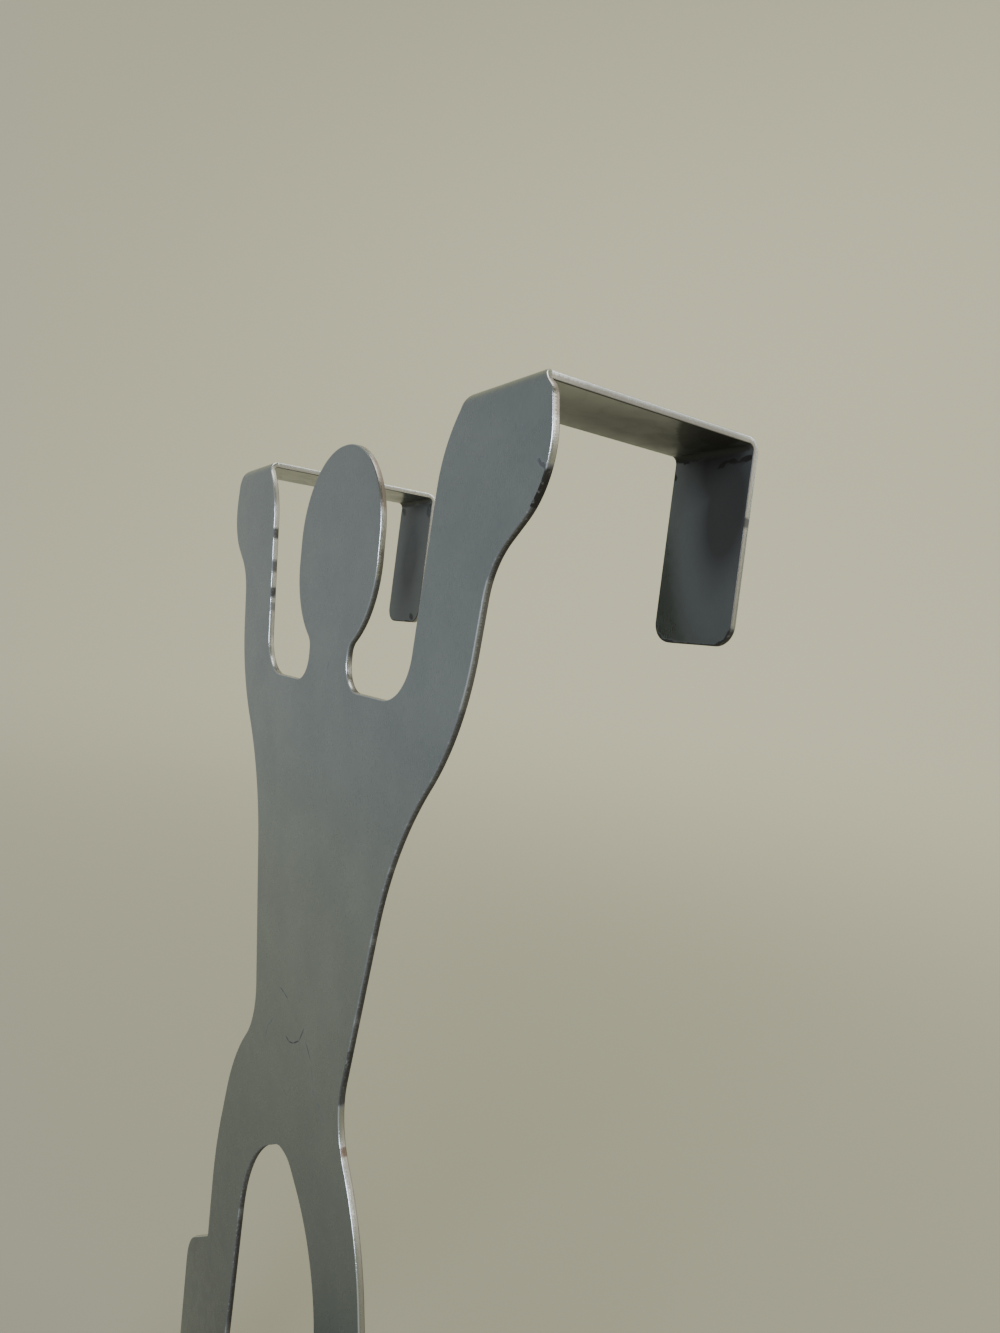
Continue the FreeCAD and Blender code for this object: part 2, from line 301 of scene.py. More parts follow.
# Painted shade: broad dark films on the sides of the straps and tabs that rub on the door, inside
# the gap that holds it
GAP_SHADE_FILMS = [
    (10.0, 0.6, [(50.8, 10.0), (50.8, 38.0)]),
    (8.0, 0.7, [(50.0, 27.0), (50.0, 38.0)]),
    (10.0, 0.9, [(52.0, 37.0), (54.0, 50.0)]),
    (10.0, 0.9, [(55.0, 40.0), (55.0, 62.0)]),
    (8.0, 0.7, [(-50.8, 44.0), (-50.8, 68.0)]),
]
TAB_END_DIRT = [
    (0.4, 0.95, [(42.6, 69.4), (43.0, 71.2), (44.5, 72.6), (47.5, 72.9)]),
    (0.28, 0.85, [(47.5, 73.0), (53.0, 73.1), (57.0, 73.0)]),
    (0.4, 0.95, [(56.5, 72.9), (58.2, 72.2), (59.1, 70.4)]),
    (0.3, 0.9, [(-56.5, 73.0), (-50.0, 73.1), (-46.0, 72.9)]),
]
# Spots of dirt, and long dark bands of painted shade: down the right side from hand to waist, under
# the head and along the left leg's inner edge
EDGE_DIRT_AND_SHADE = [
    (0.75, 1.0, [(62.9, -12.6), (61.8, -15.2), (60.6, -16.9)]),
    (0.6, 0.85, [(-35.5, -15.1), (-35.4, -16.3)]),
    (0.6, 0.75, [(-34.6, -22.2), (-34.4, -23.8)]),
    (0.6, 0.9, [(-33.9, -28.1), (-33.8, -29.3)]),
    (0.5, 0.5, [(-33.5, -31.6), (-33.4, -32.4)]),
    (0.8, 0.9, [(23.5, -105.6), (22.7, -109.2), (21.9, -113.0), (21.8, -115.2)]),
    (0.5, 0.7, [(59.2, 52.9), (59.2, 53.6)]),
    (1.0, 0.25, [(59.2, 3.0), (59.2, 40.0)]),
    (1.2, 0.75, [(60.6, -16.9), (57.4, -19.9), (54.9, -22.0), (52.3, -25.8)]),
    (1.2, 0.35, [(52.3, -25.8), (51.0, -32.0), (50.4, -36.0), (49.6, -40.0), (48.5, -44.0)]),
    (1.2, 0.75, [(48.0, -45.5), (46.9, -48.0), (42.1, -56.0), (36.2, -64.0), (32.0, -72.0),
                 (28.0, -85.0)]),
    (1.2, 0.6, [(17.3, -27.0), (16.9, -28.5), (15.2, -31.9), (11.7, -36.0), (9.0, -39.6)]),
    (1.2, 0.75, [(28.0, -85.0), (24.7, -100.0), (22.2, -111.6)]),
    (1.2, 0.85, [(-3.0, -136.3), (-5.8, -138.0), (-12.6, -143.0), (-15.9, -146.3), (-18.0, -150.0),
                 (-19.7, -155.0), (-20.6, -160.0), (-22.6, -190.0), (-24.4, -219.0)]),
]
EDGE_RUST = [
    (0.9, 0.6, [(11.5, -5.0), (14.2, -7.8), (15.4, -9.5), (17.2, -13.6)]),
    (0.4, 0.8, [(24.0, -122.2), (24.3, -122.7)]),
    (0.8, 0.4, [(61.8, -1.2), (62.9, -3.0), (63.2, -5.0)]),
]
# Painted shade on the cut edge behind its sheared band, where the edge turns away from the light:
# right side from hand to waist, under the head, the slot's bottom, the left leg's inner edge and
# the left slot's side
EDGE_PAINTED_SHADE = [
    (1.3, 0.8, [(62.6, -13.6), (59.6, -18.0), (54.9, -22.0), (52.3, -25.8)]),
    (1.2, 0.6, [(52.3, -25.8), (51.0, -32.0), (49.6, -40.0), (46.9, -48.0), (42.1, -56.0),
                (32.0, -72.0)]),
    (1.2, 0.75, [(32.0, -72.0), (28.0, -85.0), (24.7, -100.0), (22.2, -111.6)]),
    (1.2, 0.7, [(17.9, -21.5), (16.9, -28.5), (15.2, -31.9), (11.7, -36.0), (9.0, -39.6)]),
    (1.0, 0.7, [(9.9, -44.0), (12.4, -46.0)]),
    (1.2, 0.8, [(-5.8, -138.0), (-12.6, -143.0), (-20.6, -160.0), (-22.6, -190.0),
                (-24.4, -219.0)]),
    (1.2, 0.5, [(-30.5, -40.5), (-28.0, -45.4)]),
]
# A stroke is full inside the core share of its half width, and gone outside the rim share.
# A film of painted shade has a smaller core, so that it fades more softly.
STROKE_CORE = 0.7
STROKE_RIM = 1.2
GAP_SHADE_CORE = 0.35


def stroke_mask(material, flat, strokes, core=STROKE_CORE):
    """Gives the strength of the strokes where they lie on the flat sheet, and 0 elsewhere."""
    mask = 0.0
    for half_width, strength, way in strokes:
        for start, end in zip(way, way[1:]):
            along = Vector(end) - Vector(start)
            middle = (Vector(start) + Vector(end)) / 2 * MM
            reach = (along.length / 2 + half_width) * MM
            near = add_node(material, "ShaderNodeMapping", {"vector_type": "TEXTURE"}, {
                "Vector": flat, "Location": (*middle, 0.0),
                "Rotation": (0.0, 0.0, math.atan2(along.y, along.x)),
                "Scale": (reach, half_width * MM, 1.0)})
            distance = add_node(material, "ShaderNodeVectorMath", {"operation": "LENGTH"}, {
                0: near.outputs["Vector"]})
            here = add_node(material, "ShaderNodeMapRange", {}, {
                "Value": distance.outputs["Value"], "From Min": STROKE_RIM, "From Max": core,
                "To Max": strength})
            mask = add_node(material, "ShaderNodeMath", {"operation": "MAXIMUM"}, {
                0: mask, 1: here.outputs["Result"]}).outputs["Value"]
    return mask


# Millimetres across each pattern. The satin grain is really about 0.05 wide and the torn steel's
# crumbs about as fine, too fine to show, so both are drawn coarser.
GRAIN_WIDTH = 0.16
GRAIN_LENGTH = 1.4
GRAIN_DEPTH = 0.001
MOTTLE_WIDTH = 16.0
SMEAR_WIDTH = 5.0
RAGGED_WIDTH = 0.9
RAGGED_SHIFT = 0.9
SHEAR_MARK_WIDTH = 0.22
PATCH_WIDTH = 0.6
TEAR_WIDTH = 0.09
TEAR_DEPTH = 0.02
# The stretch of each noise that runs through all its shades. Noise seldom leaves 0.3 to 0.7.
NOISE_LOW, NOISE_HIGH = 0.3, 0.7
MOTTLE_LOW, MOTTLE_HIGH = 0.35, 0.65
SMEAR_LOW, SMEAR_HIGH = 0.45, 0.7
PATCH_LOW, PATCH_HIGH = 0.3, 0.44


def sheet_places(material):
    """Gives the flat place, the same place with a ragged shift, and the depth from the back face.

    The shift is up to a third of a millimetre and gives dirt and painted shade a ragged rim. All
    are in metres.
    """
    flat = add_node(material, "ShaderNodeUVMap", {"uv_map": "flat_sheet"}, {}).outputs["UV"]
    noise = add_node(material, "ShaderNodeTexNoise", {}, {
        "Vector": flat, "Scale": 1 / (RAGGED_WIDTH * MM), "Detail": 3.0})
    centred = add_node(material, "ShaderNodeVectorMath", {"operation": "SUBTRACT"}, {
        0: noise.outputs["Color"], 1: (0.5, 0.5, 0.5)})
    scaled = add_node(material, "ShaderNodeVectorMath", {"operation": "SCALE"}, {
        0: centred.outputs["Vector"], "Scale": RAGGED_SHIFT * MM})
    shifted = add_node(material, "ShaderNodeVectorMath", {"operation": "ADD"}, {
        0: flat, 1: scaled.outputs["Vector"]})
    ragged = add_node(material, "ShaderNodeVectorMath", {"operation": "MULTIPLY"}, {
        0: shifted.outputs["Vector"], 1: (1.0, 1.0, 0.0)}).outputs["Vector"]
    through = add_node(material, "ShaderNodeUVMap", {"uv_map": "through_sheet"}, {})
    depth = add_node(material, "ShaderNodeSeparateXYZ", {}, {"Vector": through.outputs["UV"]})
    return flat, ragged, depth.outputs["Y"]


STEEL_COLOUR = "#a1a9ad"
MOTTLED_COLOUR = "#9aa2a7"
BACK_TINT = "#cac8c3"
DIRT_AND_SHADE_COLOUR = "#15120f"
GRAIN_SHADES = (0.95, 1.04)
SATIN_ROUGHNESS = (0.26, 0.3)
SMEAR_ROUGHNESS = 0.05
DIRT_AND_SHADE_ROUGHNESS = 0.3
# Painted shade: the legs are darker and bluer from the waist down, standing in for the dark floor
# they reflect, but the hooks are not
LEG_SHADE_FROM_Z = -70.0
LEG_SHADE_FULL_Z = -185.0
LEG_SHADE_FADES_Z = -205.0
LEG_SHADE_ENDS_Z = -228.0
LEG_SHADE_COLOUR = "#abb2c0"


def sheet_dirt_and_shade(material, flat, ragged, front, back):
    """Gives the dirt and painted shade on the sheet: each side's own marks, and the dirt round the
    tabs' ends.
    """
    dirt_and_shade = stroke_mask(material, ragged, TAB_END_DIRT)
    for side, marks in (
            (front, stroke_mask(material, ragged, FRONT_SMUDGES)),
            (front, stroke_mask(material, flat, FRONT_SCRATCHES)),
            (back, stroke_mask(material, ragged, BACK_SMUDGES_AND_SHADE)),
            (back, stroke_mask(material, flat, GAP_SHADE_FILMS, GAP_SHADE_CORE))):
        on_side = add_node(material, "ShaderNodeMath", {"operation": "MULTIPLY"}, {
            0: marks, 1: side})
        dirt_and_shade = add_node(material, "ShaderNodeMath", {"operation": "MAXIMUM"}, {
            0: dirt_and_shade, 1: on_side.outputs["Value"]}).outputs["Value"]
    return dirt_and_shade


def clean_sheet_colour(material, flat, back, grain):
    """Gives the steel's colour without dirt: mottled, greyer behind and with painted shade on the
    legs.
    """
    mottle = add_node(material, "ShaderNodeTexNoise", {"noise_dimensions": "2D"}, {
        "Vector": flat, "Scale": 1 / (MOTTLE_WIDTH * MM), "Detail": 4.0, "Roughness": 0.6})
    contrast = add_node(material, "ShaderNodeMapRange", {}, {
        "Value": mottle.outputs["Fac"], "From Min": MOTTLE_LOW, "From Max": MOTTLE_HIGH})
    steel = add_node(material, "ShaderNodeMixRGB", {}, {
        "Fac": contrast.outputs["Result"], "Color1": linear(STEEL_COLOUR),
        "Color2": linear(MOTTLED_COLOUR)})
    greyer_behind = add_node(material, "ShaderNodeMixRGB", {"blend_type": "MULTIPLY"}, {
        "Fac": back, "Color1": steel.outputs["Color"], "Color2": linear(BACK_TINT)})
    # Painted shade: darker and bluer legs, for the dark floor that they reflect
    up = add_node(material, "ShaderNodeSeparateXYZ", {}, {"Vector": flat}).outputs["Y"]
    down_the_legs = add_node(material, "ShaderNodeMapRange", {
        "interpolation_type": "SMOOTHSTEP"}, {
        "Value": up, "From Min": LEG_SHADE_FROM_Z * MM, "From Max": LEG_SHADE_FULL_Z * MM})
    above_the_hooks = add_node(material, "ShaderNodeMapRange", {
        "interpolation_type": "SMOOTHSTEP"}, {
        "Value": up, "From Min": LEG_SHADE_ENDS_Z * MM, "From Max": LEG_SHADE_FADES_Z * MM})
    leg_shade = add_node(material, "ShaderNodeMath", {"operation": "MULTIPLY"}, {
        0: down_the_legs.outputs["Result"], 1: above_the_hooks.outputs["Result"]})
    shaded_legs = add_node(material, "ShaderNodeMixRGB", {"blend_type": "MULTIPLY"}, {
        "Fac": leg_shade.outputs["Value"], "Color1": greyer_behind.outputs["Color"],
        "Color2": linear(LEG_SHADE_COLOUR)})
    shade = add_node(material, "ShaderNodeMapRange", {}, {
        "Value": grain, "From Min": NOISE_LOW, "From Max": NOISE_HIGH,
        "To Min": GRAIN_SHADES[0], "To Max": GRAIN_SHADES[1]})
    return add_node(material, "ShaderNodeMixRGB", {"blend_type": "MULTIPLY"}, {
        "Fac": 1.0, "Color1": shaded_legs.outputs["Color"],
        "Color2": shade.outputs["Result"]}).outputs["Color"]


def satin_stainless_sheet():
    """Rolled stainless sheet, satin ground: cool mid grey, soft reflections, a fine upright grain.

    Handling has left faint smears, hairlines and, where it rubs on the door, black smudges. Painted
    shade darkens the insides of the straps, tabs and folds, and the legs.
    """
    material = new_material("satin_stainless_sheet")
    flat, ragged, depth = sheet_places(material)
    front = add_node(material, "ShaderNodeMath", {"operation": "GREATER_THAN"}, {
        0: depth, 1: SHEET_THICKNESS / 2 * MM}).outputs["Value"]
    back = add_node(material, "ShaderNodeMath", {"operation": "SUBTRACT"}, {
        0: 1.0, 1: front}).outputs["Value"]
    drawn_out = add_node(material, "ShaderNodeMapping", {}, {
        "Vector": flat, "Scale": (1 / (GRAIN_WIDTH * MM), 1 / (GRAIN_LENGTH * MM), 1.0)})
    grain = add_node(material, "ShaderNodeTexNoise", {"noise_dimensions": "2D"}, {
        "Vector": drawn_out.outputs["Vector"], "Scale": 1.0, "Detail": 2.0}).outputs["Fac"]
    smear = add_node(material, "ShaderNodeTexNoise", {"noise_dimensions": "2D"}, {
        "Vector": flat, "Scale": 1 / (SMEAR_WIDTH * MM), "Detail": 5.0, "Distortion": 1.2})
    dirt_and_shade = sheet_dirt_and_shade(material, flat, ragged, front, back)
    # Dirt, and painted shade, darken the steel's colour
    colour = add_node(material, "ShaderNodeMixRGB", {}, {
        "Fac": dirt_and_shade, "Color1": clean_sheet_colour(material, flat, back, grain),
        "Color2": linear(DIRT_AND_SHADE_COLOUR)})

    satin = add_node(material, "ShaderNodeMapRange", {}, {
        "Value": grain, "From Min": NOISE_LOW, "From Max": NOISE_HIGH,
        "To Min": SATIN_ROUGHNESS[0], "To Max": SATIN_ROUGHNESS[1]})
    smeared = add_node(material, "ShaderNodeMapRange", {}, {
        "Value": smear.outputs["Fac"], "From Min": SMEAR_LOW, "From Max": SMEAR_HIGH,
        "To Max": SMEAR_ROUGHNESS})
    roughness = add_node(material, "ShaderNodeMath", {"operation": "ADD"}, {
        0: satin.outputs["Result"], 1: smeared.outputs["Result"]})
    roughness_with_dirt_and_shade = add_node(material, "ShaderNodeMath", {"operation": "MULTIPLY_ADD"}, {
        0: dirt_and_shade, 1: DIRT_AND_SHADE_ROUGHNESS, 2: roughness.outputs["Value"]})
    metallic = add_node(material, "ShaderNodeMath", {"operation": "SUBTRACT"}, {0: 1.0, 1: dirt_and_shade})
    relief = add_node(material, "ShaderNodeBump", {}, {
        "Strength": 1.0, "Distance": GRAIN_DEPTH * MM, "Height": grain})
    shader = add_node(material, "ShaderNodeBsdfPrincipled", {}, {
        "Base Color": colour.outputs["Color"], "Metallic": metallic.outputs["Value"],
        "Roughness": roughness_with_dirt_and_shade.outputs["Value"], "Normal": relief.outputs["Normal"]})
    add_node(material, "ShaderNodeOutputMaterial", {}, {"Surface": shader.outputs["BSDF"]})
    return material


# Depths from the back face, in millimetres, from where each band of the cut edge begins to where
# it is full: painted shade along the back arris, bright sheared band, and polished arris at the
# front
BACK_ARRIS_SHADE_DEPTHS = (0.22, 0.02)
SHEARED_DEPTHS = (0.62, 0.8)
SHEARED_RIM_WANDER = 0.16
ARRIS_DEPTHS = (0.98, 1.06)
TORN_COLOUR = "#a09f9b"
SHEARED_COLOUR = "#9ba1a4"
ARRIS_COLOUR = "#ced5db"
RUST_COLOUR = "#57463a"
EDGE_SHADE_COLOUR = "#4e4a46"
TORN_SHADES = (0.72, 1.12)
SHEAR_MARK_SHADES = (0.88, 1.08)
BACK_ARRIS_SHADE = 0.3
LEAST_STICKING = 0.72
TORN_ROUGHNESS = 0.46
SHEARED_ROUGHNESS = 0.26
ARRIS_POLISH = -0.08
EDGE_DIRT_AND_SHADE_ROUGHNESS = 0.35
TEAR_STRENGTH = 0.6


def clean_edge_colour(material, depth, marks, tear, sheared, arris):
    """Gives the cut edge's colour without dirt: painted shade at the back arris, torn steel,
    sheared band and arris.
    """
    torn_shade = add_node(material, "ShaderNodeMapRange", {}, {
        "Value": tear, "From Min": NOISE_LOW, "From Max": NOISE_HIGH,
        "To Min": TORN_SHADES[0], "To Max": TORN_SHADES[1]})
    torn = add_node(material, "ShaderNodeMixRGB", {"blend_type": "MULTIPLY"}, {
        "Fac": 1.0, "Color1": linear(TORN_COLOUR), "Color2": torn_shade.outputs["Result"]})
    # Painted shade along the back arris
    back_arris_shade = add_node(material, "ShaderNodeMapRange", {}, {
        "Value": depth, "From Min": BACK_ARRIS_SHADE_DEPTHS[1] * MM, "From Max": BACK_ARRIS_SHADE_DEPTHS[0] * MM,
        "To Min": BACK_ARRIS_SHADE})
    behind = add_node(material, "ShaderNodeMixRGB", {"blend_type": "MULTIPLY"}, {
        "Fac": 1.0, "Color1": torn.outputs["Color"], "Color2": back_arris_shade.outputs["Result"]})
    mark_shade = add_node(material, "ShaderNodeMapRange", {}, {
        "Value": marks, "From Min": NOISE_LOW, "From Max": NOISE_HIGH,
        "To Min": SHEAR_MARK_SHADES[0], "To Max": SHEAR_MARK_SHADES[1]})
    bright = add_node(material, "ShaderNodeMixRGB", {"blend_type": "MULTIPLY"}, {
        "Fac": 1.0, "Color1": linear(SHEARED_COLOUR), "Color2": mark_shade.outputs["Result"]})
    cut = add_node(material, "ShaderNodeMixRGB", {}, {
        "Fac": sheared, "Color1": behind.outputs["Color"], "Color2": bright.outputs["Color"]})
    return add_node(material, "ShaderNodeMixRGB", {}, {
        "Fac": arris, "Color1": cut.outputs["Color"],
        "Color2": linear(ARRIS_COLOUR)}).outputs["Color"]


def blanked_edge():
    """The sheet's cut edge: a bright sheared band in front, and grey torn steel behind it.

    The punch has left fine upright marks across it. Dirt and some rust stick to the torn part, and
    painted shade darkens it in bands and along the back arris.
    """
    material = new_material("blanked_edge")
    flat, ragged, depth = sheet_places(material)
    marks = add_node(material, "ShaderNodeTexNoise", {"noise_dimensions": "2D"}, {
        "Vector": flat, "Scale": 1 / (SHEAR_MARK_WIDTH * MM), "Detail": 2.0}).outputs["Fac"]
    place = add_node(material, "ShaderNodeTexCoord", {}, {}).outputs["Object"]
    tear = add_node(material, "ShaderNodeTexNoise", {}, {
        "Vector": place, "Scale": 1 / (TEAR_WIDTH * MM), "Detail": 3.0}).outputs["Fac"]
    wander = add_node(material, "ShaderNodeMapRange", {}, {
        "Value": marks, "From Min": NOISE_LOW, "From Max": NOISE_HIGH,
        "To Min": -SHEARED_RIM_WANDER * MM, "To Max": SHEARED_RIM_WANDER * MM})
    rim = add_node(material, "ShaderNodeMath", {"operation": "ADD"}, {
        0: depth, 1: wander.outputs["Result"]})
    sheared = add_node(material, "ShaderNodeMapRange", {}, {
        "Value": rim.outputs["Value"], "From Min": SHEARED_DEPTHS[0] * MM,
        "From Max": SHEARED_DEPTHS[1] * MM}).outputs["Result"]
    arris = add_node(material, "ShaderNodeMapRange", {}, {
        "Value": depth, "From Min": ARRIS_DEPTHS[0] * MM,
        "From Max": ARRIS_DEPTHS[1] * MM}).outputs["Result"]

    # Painted shade on the cut edge behind the sheared band
    behind_shear = add_node(material, "ShaderNodeMath", {"operation": "SUBTRACT"}, {
        0: 1.0, 1: sheared})
    edge_shade = add_node(material, "ShaderNodeMath", {"operation": "MULTIPLY"}, {
        0: stroke_mask(material, ragged, EDGE_PAINTED_SHADE), 1: behind_shear.outputs["Value"]})
    edge_shaded = add_node(material, "ShaderNodeMixRGB", {}, {
        "Fac": edge_shade.outputs["Value"],
        "Color1": clean_edge_colour(material, depth, marks, tear, sheared, arris),
        "Color2": linear(EDGE_SHADE_COLOUR)})
    rusty = add_node(material, "ShaderNodeMixRGB", {}, {
        "Fac": stroke_mask(material, ragged, EDGE_RUST), "Color1": edge_shaded.outputs["Color"],
        "Color2": linear(RUST_COLOUR)})
    patches = add_node(material, "ShaderNodeTexNoise", {}, {
        "Vector": place, "Scale": 1 / (PATCH_WIDTH * MM), "Detail": 2.0})
    sticking = add_node(material, "ShaderNodeMapRange", {}, {
        "Value": patches.outputs["Fac"], "From Min": PATCH_LOW, "From Max": PATCH_HIGH,
        "To Min": LEAST_STICKING})
    # The dirt and the bands of painted shade on the cut edge, broken into patches
    dirt_and_shade = add_node(material, "ShaderNodeMath", {"operation": "MULTIPLY"}, {
        0: stroke_mask(material, ragged, EDGE_DIRT_AND_SHADE + TAB_END_DIRT),
        1: sticking.outputs["Result"]}).outputs["Value"]
    colour = add_node(material, "ShaderNodeMixRGB", {}, {
        "Fac": dirt_and_shade, "Color1": rusty.outputs["Color"], "Color2": linear(DIRT_AND_SHADE_COLOUR)})

    bare_roughness = add_node(material, "ShaderNodeMapRange", {}, {
        "Value": sheared, "To Min": TORN_ROUGHNESS, "To Max": SHEARED_ROUGHNESS})
    roughness = add_node(material, "ShaderNodeMath", {"operation": "MULTIPLY_ADD"}, {
        0: arris, 1: ARRIS_POLISH, 2: bare_roughness.outputs["Result"]})
    roughness_with_dirt_and_shade = add_node(material, "ShaderNodeMath", {"operation": "MULTIPLY_ADD"}, {
        0: dirt_and_shade, 1: EDGE_DIRT_AND_SHADE_ROUGHNESS, 2: roughness.outputs["Value"]})
    metallic = add_node(material, "ShaderNodeMath", {"operation": "SUBTRACT"}, {0: 1.0, 1: dirt_and_shade})
    relief = add_node(material, "ShaderNodeBump", {}, {
        "Strength": TEAR_STRENGTH, "Distance": TEAR_DEPTH * MM, "Height": tear})
    shader = add_node(material, "ShaderNodeBsdfPrincipled", {}, {
        "Base Color": colour.outputs["Color"], "Metallic": metallic.outputs["Value"],
        "Roughness": roughness_with_dirt_and_shade.outputs["Value"], "Normal": relief.outputs["Normal"]})
    add_node(material, "ShaderNodeOutputMaterial", {}, {"Surface": shader.outputs["BSDF"]})
    return material


# The cut edge's place among the piece's materials
EDGE_MATERIAL = 1


def give_thickness(piece):
    """Joins the folded faces and thickens them, and keeps each point's depth in the sheet as UV."""
    weld = piece.modifiers.new("joined_folds", "WELD")
    weld.merge_threshold = WELD_REACH * MM
    thickness = piece.modifiers.new("thickness", "SOLIDIFY")
    thickness.thickness = SHEET_THICKNESS * MM
    # The back face stays where it is, and the sheet grows forward from it
    thickness.offset = -1
    thickness.use_even_offset = True
    thickness.use_rim = True
    thickness.material_offset_rim = EDGE_MATERIAL
    evaluated = piece.evaluated_get(bpy.context.evaluated_depsgraph_get())
    mesh = bpy.data.meshes.new_from_object(evaluated)
    piece.modifiers.clear()
    piece.data = mesh
    # The thickened mesh holds the back face's points first, and then the front's
    through = mesh.uv_layers.new(name="through_sheet")
    back_points = len(mesh.vertices) // 2
    for loop in mesh.loops:
        depth = 0.0 if loop.vertex_index < back_points else SHEET_THICKNESS * MM
        through.data[loop.index].uv = (0.0, depth)


def steel_sheet():
    """Makes the folded sheet: its back face, thickened and rounded along all cut edges."""
    sheet = FlatSheet()
    sheet.add_figure()
    sheet.add_hand_and_foot(1)
    sheet.add_hand_and_foot(-1)
    piece = bpy.data.objects.new("folded_sheet", sheet.make_mesh("folded_sheet"))
    bpy.context.scene.collection.objects.link(piece)
    piece.data.materials.append(satin_stainless_sheet())
    piece.data.materials.append(blanked_edge())
    piece.data.shade_smooth()
    give_thickness(piece)
    rounding = piece.modifiers.new("tumbled_edges", "BEVEL")
    rounding.width = EDGE_ROUNDING * MM
    rounding.segments = ROUNDING_STEPS
    rounding.limit_method = "ANGLE"
    rounding.angle_limit = CUT_EDGE_ANGLE
    rounding.material = EDGE_MATERIAL
    normals = piece.modifiers.new("flat_faces", "WEIGHTED_NORMAL")
    normals.keep_sharp = True
    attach(piece, "root")
    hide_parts("door_hook")


# The photograph's viewpoint in the part's frame, in millimetres, and its directions
CAMERA_PLACE = (147.5, -64.0, -34.2)
CAMERA_RIGHT = (0.5654, 0.8192, 0.0953)
CAMERA_DOWN = (0.0815, 0.0595, -0.9949)
CAMERA_FORWARD = (-0.8207, 0.5703, -0.0332)
IMAGE_HEIGHT = 1333
FOCAL_LENGTH_PIXELS = 835.6
SENSOR_HEIGHT = 36.0
NEAREST_SEEN = 5.0


def add_camera():
    """Adds the camera at the photograph's viewpoint."""
    data = bpy.data.cameras.new("photo_camera")
    data.sensor_fit = "VERTICAL"
    data.sensor_height = SENSOR_HEIGHT
    data.lens = FOCAL_LENGTH_PIXELS * SENSOR_HEIGHT / IMAGE_HEIGHT
    data.clip_start = NEAREST_SEEN * MM
    camera = bpy.data.objects.new("photo_camera", data)
    right, up, back = Vector(CAMERA_RIGHT), -Vector(CAMERA_DOWN), -Vector(CAMERA_FORWARD)
    turn = Matrix((right, up, back)).transposed().to_4x4()
    camera.matrix_world = Matrix.Translation(Vector(CAMERA_PLACE) * MM) @ turn
    bpy.context.scene.collection.objects.link(camera)
    bpy.context.scene.camera = camera


# The stage's sizes are in metres. Its paper turns from the room's colour in front of the hooks
# to the backdrop's colour behind them.
BACKDROP_RADIUS = 1.5
BACKDROP_CURVE = 0.6
BACKDROP_HEIGHT = 2.4
BACKDROP_SIDES = 96
CURVE_STEPS = 16
FLOOR_GAP = 0.0002
BACKDROP_COLOUR = "#ebe9cb"
ROOM_COLOUR = "#ced1d1"
BACKDROP_FROM_Y = 0.1
ROOM_FROM_Y = -0.5
# Painted shade: the paper is darker close to the hooks, which then get less light from just beneath
# them
NEAR = 0.15
FAR = 1.2
NEAR_SHADED_SHARE = 0.6
# The paper glows by itself, evenly: painted light standing in for lamps outside that shine through
# a light tent. It returns less of the lamps inside
TENT_GLOW = 0.365
TENT_SHADE = "#a8a8a8"
PAPER_ROUGHNESS = 0.95
PAPER_SHINE = 0.2


def backdrop_mesh():
    """Makes the outline of floor, round wall and roof, to be turned about the upright axis."""
    floor_z = cad_low.z - FLOOR_GAP
    roof_z = floor_z + BACKDROP_HEIGHT
    turns = [math.pi / 2 * step / CURVE_STEPS for step in range(CURVE_STEPS + 1)]
    sweep = [(BACKDROP_RADIUS - BACKDROP_CURVE * (1 - math.sin(turn)),
              BACKDROP_CURVE * (1 - math.cos(turn))) for turn in turns]
    outline = [(0.0, floor_z), *((across, floor_z + up) for across, up in sweep),
               *((across, roof_z - up) for across, up in reversed(sweep)), (0.0, roof_z)]
    mesh = bpy.data.meshes.new("backdrop")
    mesh.from_pydata([(across, 0.0, up) for across, up in outline],
                     [(row, row + 1) for row in range(len(outline) - 1)], [])
    return mesh


def pale_paper():
    """Plain matt paper that glows by itself, painted light in place of lamps shining through it
    from outside: pale and even, with hardly any shine.
    """
    material = new_material("pale_paper")
    place = add_node(material, "ShaderNodeTexCoord", {}, {}).outputs["Object"]
    axes = add_node(material, "ShaderNodeSeparateXYZ", {}, {"Vector": place})
    in_front = add_node(material, "ShaderNodeMapRange", {"interpolation_type": "SMOOTHSTEP"}, {
        "Value": axes.outputs["Y"], "From Min": BACKDROP_FROM_Y, "From Max": ROOM_FROM_Y})
    paper = add_node(material, "ShaderNodeMixRGB", {}, {
        "Fac": in_front.outputs["Result"], "Color1": linear(BACKDROP_COLOUR),
        "Color2": linear(ROOM_COLOUR)})
    distance = add_node(material, "ShaderNodeVectorMath", {"operation": "LENGTH"}, {0: place})
    # Painted shade on the paper close to the hooks
    painted_near_shade = add_node(material, "ShaderNodeMapRange", {}, {
        "Value": distance.outputs["Value"], "From Min": NEAR, "From Max": FAR,
        "To Min": NEAR_SHADED_SHARE})
    glowing = add_node(material, "ShaderNodeMixRGB", {"blend_type": "MULTIPLY"}, {
        "Fac": 1.0, "Color1": paper.outputs["Color"], "Color2": painted_near_shade.outputs["Result"]})
    dim = add_node(material, "ShaderNodeMixRGB", {"blend_type": "MULTIPLY"}, {
        "Fac": 1.0, "Color1": glowing.outputs["Color"], "Color2": linear(TENT_SHADE)})
    # The paper's own glow is painted light standing in for lamps outside it
    shader = add_node(material, "ShaderNodeBsdfPrincipled", {}, {
        "Base Color": dim.outputs["Color"], "Roughness": PAPER_ROUGHNESS,
        "Specular IOR Level": PAPER_SHINE, "Emission Color": glowing.outputs["Color"],
        "Emission Strength": TENT_GLOW})
    add_node(material, "ShaderNodeOutputMaterial", {}, {"Surface": shader.outputs["BSDF"]})
    return material


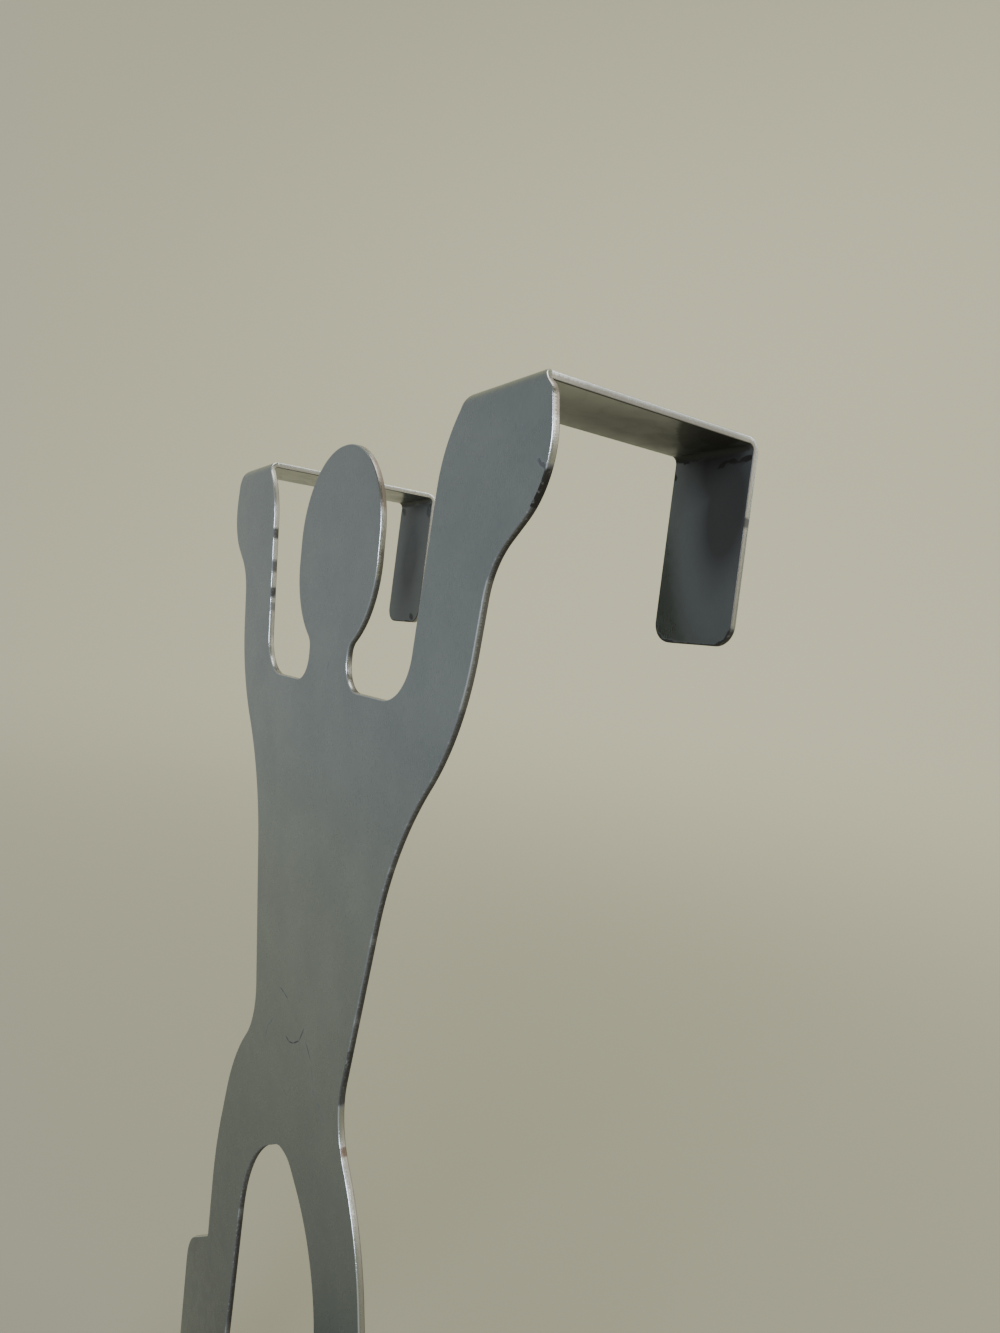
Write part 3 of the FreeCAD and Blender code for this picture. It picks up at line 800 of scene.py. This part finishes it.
def add_backdrop():
    """Adds a plain pale floor under the hooks, which curves up into a round wall and a roof."""
    backdrop = bpy.data.objects.new("backdrop", backdrop_mesh())
    bpy.context.scene.collection.objects.link(backdrop)
    turned = backdrop.modifiers.new("round_wall", "SCREW")
    turned.steps = turned.render_steps = BACKDROP_SIDES
    turned.use_merge_vertices = True
    turned.use_smooth_shade = True
    backdrop.data.materials.append(pale_paper())


# The lamps throw no light sideways, so that none shows as an edge on the paper beside it
LIGHT_SPREAD = math.radians(125)
WORLD_COLOUR = "#dfe3e6"
WORLD_STRENGTH = 0.4


def add_softbox(name, place, target, width, height, watts, colour):
    """Adds a softbox that faces a target. Places and sizes are in metres."""
    data = bpy.data.lights.new(name, "AREA")
    data.shape = "RECTANGLE"
    data.size = width
    data.size_y = height
    data.energy = watts
    data.spread = LIGHT_SPREAD
    data.color = linear(colour)[:3]
    softbox = bpy.data.objects.new(name, data)
    facing = (Vector(target) - Vector(place)).to_track_quat("-Z", "Y")
    softbox.matrix_world = Matrix.Translation(place) @ facing.to_matrix().to_4x4()
    softbox.visible_camera = False
    bpy.context.scene.collection.objects.link(softbox)


def add_light():
    """Adds the studio's soft light: a plain pale world and four softboxes."""
    world = bpy.data.worlds.new("studio")
    world.use_nodes = True
    background = world.node_tree.nodes["Background"].inputs
    background["Color"].default_value = linear(WORLD_COLOUR)
    background["Strength"].default_value = WORLD_STRENGTH
    bpy.context.scene.world = world
    middle = (cad_low + cad_high) / 2
    wall = (-0.85, 1.2, 0.35)
    add_softbox("window_light", (0.8, -1.05, 0.22), middle, 0.8, 0.9, 11.0, "#e8efff")
    add_softbox("side_light", (0.8, 0.75, 0.5), middle, 0.9, 0.45, 2.4, "#fffaf0")
    add_softbox("overhead_light", (-0.1, 0.6, 1.7), middle, 1.0, 1.0, 5.8, "#fffaf0")
    add_softbox("wall_light", (-0.2, 0.3, 0.75), wall, 0.9, 0.9, 4.2, "#fff8ea")


add_camera()
steel_sheet()
add_backdrop()
add_light()
